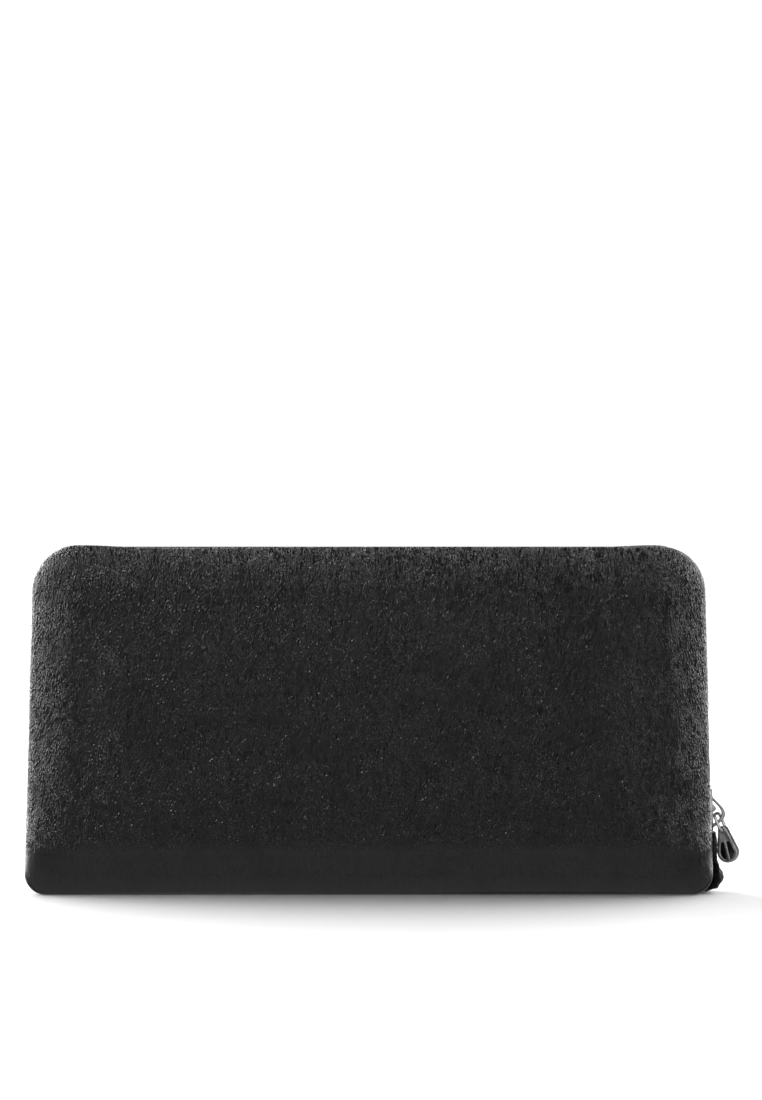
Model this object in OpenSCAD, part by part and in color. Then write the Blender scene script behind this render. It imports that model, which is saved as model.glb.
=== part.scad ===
// Zip-around long wallet, standing on its spine.
// +X runs along the spine, +Y from the front cover to the back cover, +Z up.
// The origin is the middle of the flat underside of the spine.

/* [Body] */
// Height, from the surface that the spine rests on to the zip side
wallet_h = 100; // [95:1:110]
// Width at the spine
wallet_w = 198; // [190:1:210]
// How much narrower the wallet is at the zip side
taper = 5.2; // [0:0.1:7]
// Thickness over both covers
wallet_t = 26; // [25:0.5:30]
// Corner radius at the zip side
corner_top_r = 13; // [11:0.5:16]
// Corner radius at the spine
corner_spine_r = 6; // [5:0.5:8]

/* [Covers] */
// Thickness of one cover, leather to lining
cover_t = 5; // [5:0.1:5.4]
// Thickness of the outer leather
leather_t = 1.2; // [0.9:0.1:1.3]
// How far the padded edge rolls in from the outline
edge_roll = 6; // [5:0.5:8]
// How far the cover rolls under towards the spine
spine_roll = 12; // [10:1:14]

/* [Pockets] */
// Half the width of the card pockets
page_half_w = 88; // [86:0.5:89]
// Step between the top edges of two tiers
card_step = 10; // [8:1:11]
// Top edge of the highest tier
card_top = 88; // [80:1:90]
// Top of the coin pocket's walls
coin_top = 76; // [70:1:77]

/* [Zip] */
// Distance between two teeth of one side
tooth_pitch = 2.8; // [2.7:0.05:3.2]
// Distance between two teeth of the coin pocket's zip
coin_pitch = 2; // [1.9:0.1:2.4]
// Height of the middle of the slider above the spine
slider_z = 24; // [24:0.5:30]
// How far the pull's ring is swung out from hanging straight down
ring_angle = 22; // [18:1:30]
// How far the pull's ring is turned towards the front cover
ring_yaw = 25; // [15:1:25]
// How far the pull's tab is swung out from hanging straight down
tab_angle = 12; // [10:1:20]

/* [Hidden] */
$fn = 32;

// The covers, measured from the mid plane between them
lean = taper / 2 / wallet_h;                 // how fast the sides close in towards the top
lean_angle = atan(lean);
face_y = wallet_t / 2;                       // outer face of a cover
inner_y = face_y - cover_t;                  // inner face of a cover, where the zip tape starts
lining_t = 0.6;
board_t = 0.8;
padding_t = cover_t - leather_t - lining_t - board_t - 0.2;
roll_steps = 6;
corner_steps = 6;
hinge_gap = 0.4;                             // groove between the spine leather and a cover
spine_end_h = 9;                             // how far the spine leather turns up at its ends
lining_floor = leather_t + 0.5;              // top of the spine lining

// Inside pages
tier_t = 0.5;
page_bottom = 14;
divider_t = 0.6;
divider_y = inner_y - 3.9;                   // inner face of a divider
divider_top = 84;
binding_h = 6;
binding_t = 1;
page_floor = lining_floor + 0.3;             // where the coin pocket stands on the spine lining
coin_wall_y = 2.3;                           // inner face of a coin pocket wall
coin_wall_t = 0.6;
coin_half_w = 86;
fold_t = 0.3;                                // thickness of the gusset's cloth
fold_w = 0.9;                                // width of one pleat
fold_depth = 8;

// Main zip: a band that follows the outline
tape_t = 0.6;
tape_inset = 1.5;                            // outer face of the tape below the outline
chain_inset = tape_inset + tape_t / 2;       // middle of the chain
tooth_root_y = 3.2;                          // where a tooth meets its tape
tooth_reach = 0.9;                           // how far a tooth reaches past the middle
tooth_t = 1.25;
tooth_h = 2.4;
chain_start_z = slider_z - 2.9;
chain_end_z = 20.5;
chain_r = corner_top_r - chain_inset;
stop_t = 2.2;                                // length of the clip that ends a row of teeth
start_tab_half_w = 5;
start_tab_h = 6.7;
tail_z = slider_z - 8;                       // where the zip's free end begins, below the slider

// Slider, in its own axes: X out of the chain, Y across it, Z along it
slider_l = 12;
slider_half_w = 4.8;
channel_h = 1.5;                             // half the height of the channel
plate_t = 1.1;
plate_out = channel_h + plate_t;             // outer face of the outer plate
slot_half_w = tooth_root_y + 0.5;            // half the gap that the tapes pass through
boss_h = 1.2;                                // low swelling of the plate under the bridge
boss_half_w = 1.6;
bridge_half_w = 0.7;
bridge_h = 3.9;
bridge_top = 4.1;                            // its two feet, along the slider
bridge_bottom = -5.6;
ring_r = 0.45;                               // radius of the ring's wire
ring_half_w = 2.4;
ring_bend_r = 1.3;
ring_l = 5.2;                                // between the middles of the ring's two ends
ring_x = plate_out + 1.4;                    // the ring's pivot under the bridge
ring_z = -1.4;
eye_r = 0.6;                                 // hole for the ring in the tab
tab_top_r = 1.3;
tab_bottom_r = 3;
tab_drop = 6.4;                              // from the eye to the middle of the tab's round end
tab_half_t = 1.1;
rim_w = 0.9;                                 // the tab's metal around its inlays

// Coin pocket zip
coin_tape_t = 0.5;
coin_tape_z = coin_top;
coin_chain_z = coin_tape_z + coin_tape_t / 2;
coin_teeth_half = 74;
coin_tooth_root = 1.5;
coin_tooth_reach = 0.5;
coin_tooth_t = 0.84;
coin_tooth_half_h = 0.85;
coin_slider_x = 66;
coin_slider_l = 8;
coin_slider_half_w = 2.9;
coin_channel_h = 1.05;                       // half the height of its channel
coin_plate_t = 0.8;
coin_lip_y = 1.75;                           // where its side walls start
coin_lower_half_w = 2.1;
coin_bridge_h = 2.6;
coin_pin_r = 0.45;                           // the pull's pin and its eye
coin_pin_h = coin_channel_h + coin_plate_t + 0.9;
coin_pull_half_w = 2.5;
coin_pull_l = 13;

// ---------------------------------------------------------------- outlines

function side_x(z, inset) = wallet_w / 2 - lean * z - inset * sqrt(1 + lean * lean);

function arc(x, z, r, from, to) =
    [for (i = [0:corner_steps]) let (a = from + (to - from) * i / corner_steps)
        [x + r * cos(a), z + r * sin(a)]];

// The wallet's outline in X and Z, closing in by an inset at its sides, top and bottom
function outline(side, top, bottom, top_r, spine_r) =
    let (zt = wallet_h - top - top_r, zb = bottom + spine_r,
         xt = side_x(zt, side + top_r), xb = side_x(zb, side + spine_r))
    concat(arc(xb, zb, spine_r, -90, lean_angle), arc(xt, zt, top_r, lean_angle, 90),
           arc(-xt, zt, top_r, 90, 180 - lean_angle),
           arc(-xb, zb, spine_r, 180 - lean_angle, 270));

function inset_outline(d) =
    outline(d, d, d, max(corner_top_r - d, 2), max(corner_spine_r - d, 2));

// A plate of an X and Z outline, from y to y + t
module plate_y(points, y, t) {
    translate([0, y + t, 0]) rotate([90, 0, 0]) linear_extrude(t) polygon(points);
}

// A band that follows the outline between two insets
module band_y(outer, inner, y, t) {
    difference() {
        plate_y(inset_outline(outer), y, t);
        plate_y(inset_outline(inner), y - 1, t + 2);
    }
}

module box(x0, x1, y0, y1, z0, z1) {
    translate([x0, y0, z0]) cube([x1 - x0, y1 - y0, z1 - z0]);
}

// ---------------------------------------------------------------- covers

// One ring of a cover's skin at roll angle a; skin is 0 outside and leather_t inside
function skin_ring(a, skin) =
    let (side = skin + (edge_roll - skin) * (1 - cos(a)),
         under = skin + (spine_roll - skin) * (1 - cos(a)),
         y = -inner_y - (cover_t - skin) * sin(a))
    [for (p = outline(side, side, under, corner_top_r - side, corner_spine_r - skin)) [p.x, y, p.y]];

// The outer leather: a padded tray, open towards the lining, with its edge rolled all round
module cover_skin() {
    angles = [for (i = [0:roll_steps]) 90 * i / roll_steps];
    rings = concat([for (a = angles) skin_ring(a, 0)],
                   [for (i = [roll_steps:-1:0]) skin_ring(angles[i], leather_t)]);
    n = len(rings[0]);
    count = len(rings);
    points = [for (r = rings) for (p = r) p];
    // the outer face and the inner face close the rings in the middle
    walls = [for (k = [0:count - 1]) for (i = [0:n - 1])
        let (k2 = (k + 1) % count, i2 = (i + 1) % n)
        if (k != roll_steps) each [[k * n + i, k2 * n + i, k2 * n + i2],
                                   [k * n + i, k2 * n + i2, k * n + i2]]];
    outer_cap = [for (i = [n - 1:-1:0]) roll_steps * n + i];
    inner_cap = [for (i = [0:n - 1]) (roll_steps + 1) * n + i];
    polyhedron(points, concat(walls, [outer_cap, inner_cap]), convexity = 4);
}

module cover_leather() {
    color([0.09, 0.09, 0.09]) cover_skin();
}

module cover_padding() {
    y = face_y - leather_t - 0.2;
    color([0.75, 0.75, 0.72])
        plate_y(outline(edge_roll + 0.4, edge_roll + 0.4, spine_roll + 0.5,
                        corner_top_r - edge_roll, corner_spine_r), -y, padding_t);
}

module cover_board() {
    color([0.55, 0.45, 0.33])
        plate_y(outline(3, 3, 6, corner_top_r - 3, corner_spine_r - 2),
                -inner_y - lining_t - board_t, board_t);
}

module cover_lining() {
    color([0.12, 0.12, 0.13])
        plate_y(outline(1.6, 1.6, 3, corner_top_r - 1.6, corner_spine_r - 1.6),
                -inner_y - lining_t, lining_t);
}

// Tier 1 has the highest top edge and lies against the lining
module card_pocket(tier) {
    y = -inner_y + tier_t * (tier - 1);
    top = card_top - card_step * (tier - 1);
    color([0.1, 0.1, 0.1]) box(-page_half_w, page_half_w, y, y + tier_t, page_bottom, top);
}

module zip_tape() {
    color([0.05, 0.05, 0.05]) intersection() {
        band_y(tape_inset, tape_inset + tape_t, -inner_y, inner_y - tooth_root_y);
        box(-wallet_w, wallet_w, -wallet_t, wallet_t, spine_end_h + 0.3, wallet_h);
    }
}

// ---------------------------------------------------------------- main zip's chain

chain_zc = wallet_h - chain_inset - chain_r;
chain_xc = side_x(chain_zc, chain_inset + chain_r);
chain_arc = chain_r * (90 - lean_angle) * PI / 180;
chain_up = (chain_zc + chain_r * sin(lean_angle) - chain_start_z) / cos(lean_angle);
chain_down = (chain_zc + chain_r * sin(lean_angle) - chain_end_z) / cos(lean_angle);
chain_l = chain_up + chain_down + 2 * chain_arc + 2 * chain_xc;

function chain_side(z) = [side_x(z, chain_inset), z, lean_angle];

function chain_corner(s, turn) =
    let (a = lean_angle + s / chain_r * 180 / PI)
    [chain_xc + chain_r * cos(a), chain_zc + chain_r * sin(a), a];

function flip(p) = [-p.x, p.y, 180 - p.z];

// [x, z, angle of the outward normal] at a length s along the chain, from the closed end
function chain_at(s) =
    s < chain_up ? chain_side(chain_start_z + s * cos(lean_angle)) :
    s < chain_up + chain_arc ? chain_corner(s - chain_up) :
    s < chain_up + chain_arc + 2 * chain_xc ?
        [chain_xc - (s - chain_up - chain_arc), chain_zc + chain_r, 90] :
    s < chain_l - chain_down ? flip(chain_corner(chain_l - chain_down - s)) :
    flip(chain_side(chain_end_z + (chain_l - s) * cos(lean_angle)));

module on_chain(p) {
    translate([p.x, 0, p.y]) rotate([0, -p.z, 0]) children();
}

module zip_teeth(offset) {
    color([0.72, 0.72, 0.74])
        for (s = [offset:tooth_pitch:chain_l]) on_chain(chain_at(s))
            box(-tooth_h / 2, tooth_h / 2, -tooth_root_y, tooth_reach, -tooth_t / 2, tooth_t / 2);
}

// The clip that ends each side's teeth, below the slider
module zip_top_stop() {
    color([0.72, 0.72, 0.74]) on_chain(chain_side(slider_z - slider_l / 2 - 1.7))
        box(-tooth_h / 2, tooth_h / 2, -tooth_root_y, -1.2, -stop_t / 2, stop_t / 2);
}

module zip_bottom_stop() {
    color([0.72, 0.72, 0.74]) on_chain(flip(chain_side(chain_end_z - 2.6)))
        box(-tooth_h / 2, tooth_h / 2, -tooth_root_y, tooth_root_y, -stop_t / 2 - 0.2, stop_t / 2 + 0.2);
}

// The leather that closes over the start of the tapes
module zip_start_tab() {
    color([0.09, 0.09, 0.09]) intersection() {
        band_y(0.1, leather_t + 0.1, -start_tab_half_w, 2 * start_tab_half_w);
        box(-wallet_w, 0, -wallet_t, wallet_t, spine_end_h + 0.3, spine_end_h + 0.3 + start_tab_h);
    }
}

// The free end of the zip: both tapes folded together, and tucked under the corner of the spine
module zip_tail() {
    strip_t = 0.7;
    fold_z = 8.6;                            // where the fold begins to stand out
    corner_x = side_x(corner_spine_r, corner_spine_r);
    inner_r = corner_spine_r + 0.15;
    fold_x = corner_x + inner_r;
    fold_r = 2.5;                            // how far the fold stands out
    fold_half_h = 3;
    fold_mid_z = 3.2;
    half_w = 4.5;
    color([0.06, 0.06, 0.06]) translate([0, half_w, 0]) rotate([90, 0, 0]) linear_extrude(2 * half_w)
        polygon(concat(
            [[side_x(tail_z, -strip_t), tail_z], [side_x(tail_z, 0.1), tail_z]],
            // down beside the covers and in around the corner
            [for (a = [0:-8:-64]) [corner_x + inner_r * cos(a), corner_spine_r + inner_r * sin(a)]],
            [[corner_x + 1.6, 0.15], [fold_x, 0.15]],
            // out over the fold and back up
            [for (a = [-80:22:52]) [fold_x + 0.1 + fold_r * cos(a), fold_mid_z + fold_half_h * sin(a)]],
            [[side_x(fold_z, -strip_t - 0.6), fold_z], [side_x(fold_z + 2, -strip_t), fold_z + 2]]));
}

// ---------------------------------------------------------------- spine

module spine_leather() {
    color([0.09, 0.09, 0.09]) intersection() {
        band_y(0, leather_t, -inner_y + hinge_gap, 2 * (inner_y - hinge_gap));
        box(-wallet_w, wallet_w, -wallet_t, wallet_t, -1, spine_end_h);
    }
}

module spine_lining() {
    half = wallet_w / 2 - corner_spine_r - 0.5;
    color([0.12, 0.12, 0.13])
        box(-half, half, -inner_y + hinge_gap, inner_y - hinge_gap, leather_t, lining_floor);
}

// ---------------------------------------------------------------- inside pages

module divider() {
    color([0.12, 0.12, 0.13])
        box(-page_half_w + 1, page_half_w - 1, -divider_y - divider_t, -divider_y,
            page_floor + 0.4, divider_top);
}

module divider_binding() {
    middle = -divider_y - divider_t / 2;
    color([0.09, 0.09, 0.09])
        box(-page_half_w + 1, page_half_w - 1, middle - binding_t / 2, middle + binding_t / 2,
            divider_top, divider_top + binding_h);
}

module coin_pocket_wall() {
    color([0.1, 0.1, 0.1])
        box(-coin_half_w, coin_half_w, -coin_wall_y - coin_wall_t, -coin_wall_y,
            page_floor, coin_top);
}

// The sewn edges that hold the two walls apart: one along the bottom, one at each end
module coin_pocket_seam() {
    seam_w = 1;
    color([0.1, 0.1, 0.1]) {
        box(-coin_half_w, coin_half_w, -coin_wall_y, coin_wall_y, page_floor, page_floor + seam_w);
        for (x = [-coin_half_w, coin_half_w - seam_w])
            box(x, x + seam_w, -coin_wall_y, coin_wall_y, page_floor + seam_w + 0.1, coin_top);
    }
}

// Two pleats of lining cloth, folded inwards: cover to divider, and divider to coin pocket
module gusset() {
    x = page_half_w + 0.4;
    color([0.1, 0.1, 0.11])
        translate([0, 0, lining_floor + 1]) linear_extrude(divider_top - lining_floor - 2)
            for (y = [-inner_y + tier_t * 4 + 0.15, -divider_y + 0.15])
                polygon([[x, y], [x - fold_depth, y], [x - fold_depth, y + fold_w], [x, y + fold_w],
                         [x, y + fold_w - fold_t], [x - fold_depth + 0.5, y + fold_w - fold_t],
                         [x - fold_depth + 0.5, y + fold_t], [x, y + fold_t]]);
}

// ---------------------------------------------------------------- coin pocket zip

module coin_tape() {
    color([0.05, 0.05, 0.05])
        box(-coin_half_w, coin_half_w, -coin_wall_y - coin_wall_t, -coin_tooth_root,
            coin_tape_z, coin_tape_z + coin_tape_t);
}

module coin_teeth(offset) {
    color([0.72, 0.72, 0.74])
        for (x = [-coin_teeth_half + offset:coin_pitch:coin_slider_x + 1.2])
            box(x - coin_tooth_t / 2, x + coin_tooth_t / 2, -coin_tooth_root, coin_tooth_reach,
                coin_chain_z - coin_tooth_half_h, coin_chain_z + coin_tooth_half_h);
}

module coin_zip_stops() {
    color([0.72, 0.72, 0.74]) for (x = [-coin_teeth_half - 2.4, coin_slider_x + 6])
        box(x - coin_tooth_t, x + coin_tooth_t, -coin_tooth_root, coin_tooth_root,
            coin_chain_z - coin_tooth_half_h, coin_chain_z + coin_tooth_half_h);
}

module at_coin_slider() {
    translate([coin_slider_x, 0, coin_chain_z]) children();
}

module coin_slider_body() {
    half = coin_slider_l / 2;
    out = coin_channel_h + coin_plate_t;
    slot = 0.4;                              // half the height of the slot that the tape passes through
    color([0.75, 0.75, 0.77]) at_coin_slider() {
        box(-half, half, -coin_slider_half_w, coin_slider_half_w, coin_channel_h, out);
        box(-half, half, -coin_lower_half_w, coin_lower_half_w, -out, -coin_channel_h);
        for (side = [-1, 1]) scale([1, side, 1]) {
            box(-half, half, coin_lip_y, coin_slider_half_w, slot, coin_channel_h);
            box(-half, half, coin_lip_y, coin_lower_half_w, -coin_channel_h, -slot);
        }
        box(half - 2, half - 0.5, -0.6, 0.6, -coin_channel_h, coin_channel_h);
    }
}

// An arch along the slider, with room under it for a pull
module arch(length, height, width, bar) {
    rotate([90, 0, 0]) translate([0, 0, -width / 2]) linear_extrude(width) difference() {
        polygon([[-length / 2, 0], [-length / 2 + 1, height * 0.75], [-length / 2 + 2, height],
                 [length / 2 - 1.5, height], [length / 2 - 0.3, height * 0.6], [length / 2, 0]]);
        polygon([[-length / 2 + bar, -1], [-length / 2 + bar + 0.8, height - bar],
                 [length / 2 - bar - 0.8, height - bar], [length / 2 - bar, -1]]);
    }
}

module coin_slider_bridge() {
    color([0.75, 0.75, 0.77]) at_coin_slider() translate([0, 0, coin_channel_h + coin_plate_t])
        arch(coin_slider_l * 0.8, coin_bridge_h, 2 * bridge_half_w, coin_plate_t);
}

// A small leather tongue on a metal eye, lying flat along the zip
module coin_pull() {
    gap_half_w = 1;                          // the eye's opening, around the bridge
    eye_l = 4.4;
    color([0.1, 0.1, 0.1]) at_coin_slider() translate([0, 0, coin_pin_h]) {
        rotate([90, 0, 0]) cylinder(h = 2 * coin_pull_half_w, r = coin_pin_r, center = true);
        for (side = [-1, 1]) scale([1, side, 1])
            box(-coin_pull_l, 0, gap_half_w, coin_pull_half_w, -coin_pin_r, coin_pin_r);
        box(-coin_pull_l, -eye_l, -gap_half_w - 0.1, gap_half_w + 0.1, -coin_pin_r, coin_pin_r);
    }
}

// ---------------------------------------------------------------- main slider and pull

module at_slider() {
    on_chain(chain_side(slider_z)) children();
}

// The outline of a slider plate: wide at the nose, which points down towards the closed end
module plate_outline() {
    half = slider_l / 2;
    nose = 1.6;
    tail_half_w = slider_half_w - 0.5;
    polygon([[-slider_half_w, -half + nose + 1], [-slider_half_w + nose, -half],
             [slider_half_w - nose, -half], [slider_half_w, -half + nose + 1],
             [tail_half_w, half - 0.6], [tail_half_w - 0.6, half],
             [-tail_half_w + 0.6, half], [-tail_half_w, half - 0.6]]);
}

// The outline standing across the chain, from x to x + t
module across_chain(x, t) {
    translate([x, 0, 0]) rotate([90, 0, 90]) linear_extrude(t) children();
}

// An arch on the outer plate, from one height along the chain to another, highest past its middle
module arch_outline(height, top, bottom) {
    steps = 14;
    polygon([for (i = [0:steps]) [height * sin(180 * pow(i / steps, 1.25)), top + (bottom - top) * i / steps]]);
}

module on_plate(width) {
    translate([plate_out, width / 2, 0]) rotate([90, 0, 0]) linear_extrude(width) children();
}

module slider_body() {
    lip = 0.9;
    color([0.78, 0.78, 0.8]) at_slider() {
        for (x = [channel_h, -plate_out]) across_chain(x, plate_t) plate_outline();
        for (x = [channel_h - lip, -channel_h]) across_chain(x, lip) difference() {
            plate_outline();
            square([2 * slot_half_w, slider_l + 2], center = true);
        }
        // the post that joins the plates and parts the teeth
        box(-channel_h, channel_h, -1, 1, -slider_l / 2 + 0.6, -slider_l / 2 + 2.2);
        on_plate(2 * boss_half_w) arch_outline(boss_h, 1.9, -1);
    }
}

// The bridge that the ring hangs in; it rises towards the nose
module slider_bridge() {
    bar = 1;
    color([0.78, 0.78, 0.8]) at_slider() on_plate(2 * bridge_half_w) difference() {
        arch_outline(bridge_h, bridge_top, bridge_bottom);
        translate([-0.01, 0]) arch_outline(bridge_h - bar, bridge_top - bar, bridge_bottom + bar);
    }
}

// The ring's own axes: X from its pivot to its other end, Y along its hinge
module at_ring() {
    at_slider() translate([ring_x, 0, ring_z])
        rotate([0, 0, -ring_yaw]) rotate([0, 90 - ring_angle, 0]) children();
}

// A rounded link of round wire
module pull_ring() {
    side = ring_half_w - ring_bend_r;
    far = ring_l - ring_bend_r;
    color([0.78, 0.78, 0.8]) at_ring() {
        for (x = [0, ring_l]) translate([x, 0, 0]) rotate([90, 0, 0])
            cylinder(h = 2 * side, r = ring_r, center = true);
        for (y = [-ring_half_w, ring_half_w]) translate([ring_bend_r, y, 0]) rotate([0, 90, 0])
            cylinder(h = far - ring_bend_r, r = ring_r);
        for (c = [[ring_bend_r, side, 90], [ring_bend_r, -side, 180], [far, -side, 270], [far, side, 0]])
            translate([c.x, c.y, 0]) rotate([0, 0, c.z])
                rotate_extrude(angle = 90) translate([ring_bend_r, 0]) circle(r = ring_r);
    }
}

// The tab's own axes: the eye at the origin, hanging along -Z
module at_tab() {
    at_ring() translate([ring_l, 0, 0]) rotate([0, ring_angle - 90 - tab_angle, 0]) children();
}

// A drop: a small and a large circle with their two common tangents, smaller by an inset
module tab_outline(inset) {
    top_r = tab_top_r - inset;
    bottom_r = tab_bottom_r - inset;
    slope = asin((bottom_r - top_r) / tab_drop);
    out = [cos(slope), sin(slope)];
    circle(r = top_r);
    translate([0, -tab_drop]) circle(r = bottom_r);
    polygon([top_r * out, [-top_r * out.x, top_r * out.y],
             [-bottom_r * out.x, bottom_r * out.y - tab_drop], bottom_r * out - [0, tab_drop]]);
}

// One of the two windows in the tab, beside its middle bar
module tab_window(side) {
    intersection() {
        tab_outline(rim_w);
        translate([side * 2.35, -tab_drop + 0.3]) square([4, 5.6], center = true);
    }
}

module pull_tab() {
    color([0.78, 0.78, 0.8]) at_tab() rotate([90, 0, 0]) difference() {
        linear_extrude(2 * tab_half_t, center = true) tab_outline(0);
        cylinder(h = 4, r = eye_r, center = true);
        for (side = [-1, 1]) linear_extrude(4, center = true) tab_window(side);
    }
}

module pull_inlays() {
    color([0.1, 0.1, 0.1]) at_tab() rotate([90, 0, 0])
        for (side = [-1, 1]) linear_extrude(2 * tab_half_t - 0.5, center = true) tab_window(side);
}

module mirrored() {
    mirror([0, 1, 0]) children();
}

// ---------------------------------------------------------------- nodes

spine_leather();
spine_lining();
coin_pocket_wall();  // coin_pocket_front_wall
mirrored() coin_pocket_wall();  // coin_pocket_back_wall
coin_pocket_seam();
coin_tape();  // coin_zip_front_tape
mirrored() coin_tape();  // coin_zip_back_tape
coin_teeth(0);  // coin_zip_front_teeth
mirrored() coin_teeth(coin_pitch / 2);  // coin_zip_back_teeth
coin_zip_stops();
zip_tail();
zip_start_tab();
zip_bottom_stop();
cover_leather();  // front_leather
cover_padding();  // front_padding
cover_board();  // front_board
cover_lining();  // front_lining
card_pocket(1);  // front_card_pocket_1
card_pocket(2);  // front_card_pocket_2
card_pocket(3);  // front_card_pocket_3
card_pocket(4);  // front_card_pocket_4
zip_tape();  // front_zip_tape
zip_teeth(0);  // front_zip_teeth
zip_top_stop();  // front_zip_top_stop
mirrored() cover_leather();  // back_leather
mirrored() cover_padding();  // back_padding
mirrored() cover_board();  // back_board
mirrored() cover_lining();  // back_lining
mirrored() card_pocket(1);  // back_card_pocket_1
mirrored() card_pocket(2);  // back_card_pocket_2
mirrored() card_pocket(3);  // back_card_pocket_3
mirrored() card_pocket(4);  // back_card_pocket_4
mirrored() zip_tape();  // back_zip_tape
mirrored() zip_teeth(tooth_pitch / 2);  // back_zip_teeth
mirrored() zip_top_stop();  // back_zip_top_stop
divider();  // front_divider
divider_binding();  // front_divider_binding
mirrored() divider();  // back_divider
mirrored() divider_binding();  // back_divider_binding
mirror([1, 0, 0]) gusset();  // front_left_gusset
gusset();  // front_right_gusset
mirrored() mirror([1, 0, 0]) gusset();  // back_left_gusset
mirrored() gusset();  // back_right_gusset
slider_body();
slider_bridge();
pull_ring();
pull_tab();
pull_inlays();
coin_slider_body();
coin_slider_bridge();
coin_pull();
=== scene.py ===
"""A zip-around long wallet in soft black leather, standing on its spine, built around its CAD frame.

Lengths in this script are millimetres in the frame's axes, and become metres where a mesh is made.
The front half is built first; the back half is its mirror image across the plane between the covers.
"""

import math

import bmesh
import bpy
import numpy as np
from mathutils import Matrix, Vector


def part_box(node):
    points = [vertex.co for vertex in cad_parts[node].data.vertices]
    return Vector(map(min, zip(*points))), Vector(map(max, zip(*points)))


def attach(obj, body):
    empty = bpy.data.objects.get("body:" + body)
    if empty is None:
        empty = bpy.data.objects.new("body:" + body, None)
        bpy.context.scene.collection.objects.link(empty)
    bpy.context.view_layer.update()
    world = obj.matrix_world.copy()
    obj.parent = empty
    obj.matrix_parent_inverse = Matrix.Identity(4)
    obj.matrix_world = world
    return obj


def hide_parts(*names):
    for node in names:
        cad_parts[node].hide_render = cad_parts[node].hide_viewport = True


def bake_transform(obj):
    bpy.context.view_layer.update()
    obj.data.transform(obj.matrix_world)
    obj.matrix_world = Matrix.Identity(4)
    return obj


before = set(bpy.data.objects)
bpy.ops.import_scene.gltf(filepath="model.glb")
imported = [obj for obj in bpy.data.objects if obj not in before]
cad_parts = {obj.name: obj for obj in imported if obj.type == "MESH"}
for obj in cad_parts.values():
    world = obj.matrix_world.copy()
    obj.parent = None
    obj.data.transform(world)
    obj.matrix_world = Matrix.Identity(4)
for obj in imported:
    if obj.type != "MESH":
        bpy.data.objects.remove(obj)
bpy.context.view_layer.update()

MM = 0.001
SIDES = {"front": 1, "back": -1}  # what a front piece's Y is multiplied by


def node_box(name):
    """Lowest and highest corner of a CAD node, in millimetres."""
    low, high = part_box(name)
    return np.array(low) / MM, np.array(high) / MM


# ------------------------------------------------------------------ the wallet's outline

(_, cover_front, _), (_, cover_back, HEIGHT) = node_box("front_leather")
FACE_Y, INNER_Y = -cover_front, -cover_back  # outer and inner face of a cover, from the mid plane
WIDTH, TAPER = 198.0, 5.2  # at the spine, and how much narrower at the zip side
CORNER_TOP, CORNER_SPINE = 13.0, 6.0
EDGE_ROLL, SPINE_ROLL = 6.0, 5.5  # how far the cover's edge rolls in
LEATHER = 1.2
TAPE_INSET = 1.8  # middle of the zip's tapes and teeth below the outline
TOOTH_PITCH = 2.8
LEAN = TAPER / 2 / HEIGHT
LEAN_ANGLE = math.atan(LEAN)
SLANT = math.hypot(1, LEAN)


def side_x(z, inset=0.0):
    """X of the right side at a height, moved in by an inset."""
    return WIDTH / 2 - LEAN * z - inset * SLANT


def arc(centre, r, start, end, steps=16):
    a = np.linspace(start, end, steps + 1)
    return np.c_[centre[0] + r * np.cos(a), centre[1] + r * np.sin(a)]


def resample(points, cells):
    """The same line with a number of equal cells."""
    points = np.asarray(points, float)
    step = np.linalg.norm(np.diff(points, axis=0), axis=1)
    at = np.r_[0, np.cumsum(step)]
    wanted = np.linspace(0, at[-1], cells + 1)
    return np.stack([np.interp(wanted, at, points[:, k]) for k in range(points.shape[1])], 1)


def outline(side, top, bottom, top_r, spine_r, across, up):
    """The bottom, right, top and left spans of the outline in X and Z, each from corner to corner."""
    zt, zb = HEIGHT - top - top_r, bottom + spine_r
    xt, xb = side_x(zt, side + top_r), side_x(zb, side + spine_r)
    half_pi, eighth = math.pi / 2, math.pi / 4
    right, left = LEAN_ANGLE, math.pi - LEAN_ANGLE
    br, tr = -eighth + LEAN_ANGLE / 2, eighth + LEAN_ANGLE / 2
    tl, bl = math.pi - tr, math.pi - br
    spans = [
        (across, arc((-xb, zb), spine_r, bl, 3 * half_pi), arc((xb, zb), spine_r, -half_pi, br)),
        (up, arc((xb, zb), spine_r, br, right), arc((xt, zt), top_r, right, tr)),
        (across, arc((xt, zt), top_r, tr, half_pi), arc((-xt, zt), top_r, half_pi, tl)),
        (up, arc((-xt, zt), top_r, tl, left), arc((-xb, zb), spine_r, left, bl)),
    ]
    return [resample(np.r_[a, b], cells) for cells, a, b in spans]


def loop_of(spans):
    return np.concatenate([s[:-1] for s in spans])


def patch(spans):
    """A grid of points inside four spans, as rows from the bottom to the top."""
    bottom, right, top, left = spans[0], spans[1], spans[2][::-1], spans[3][::-1]
    u = np.linspace(0, 1, len(bottom))[None, :, None]
    v = np.linspace(0, 1, len(right))[:, None, None]
    corners = (
        (1 - u) * (1 - v) * bottom[0]
        + u * (1 - v) * bottom[-1]
        + (1 - u) * v * top[0]
        + u * v * top[-1]
    )
    return (
        (1 - v) * bottom[None] + v * top[None] + (1 - u) * left[:, None] + u * right[:, None] - corners
    )


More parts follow.
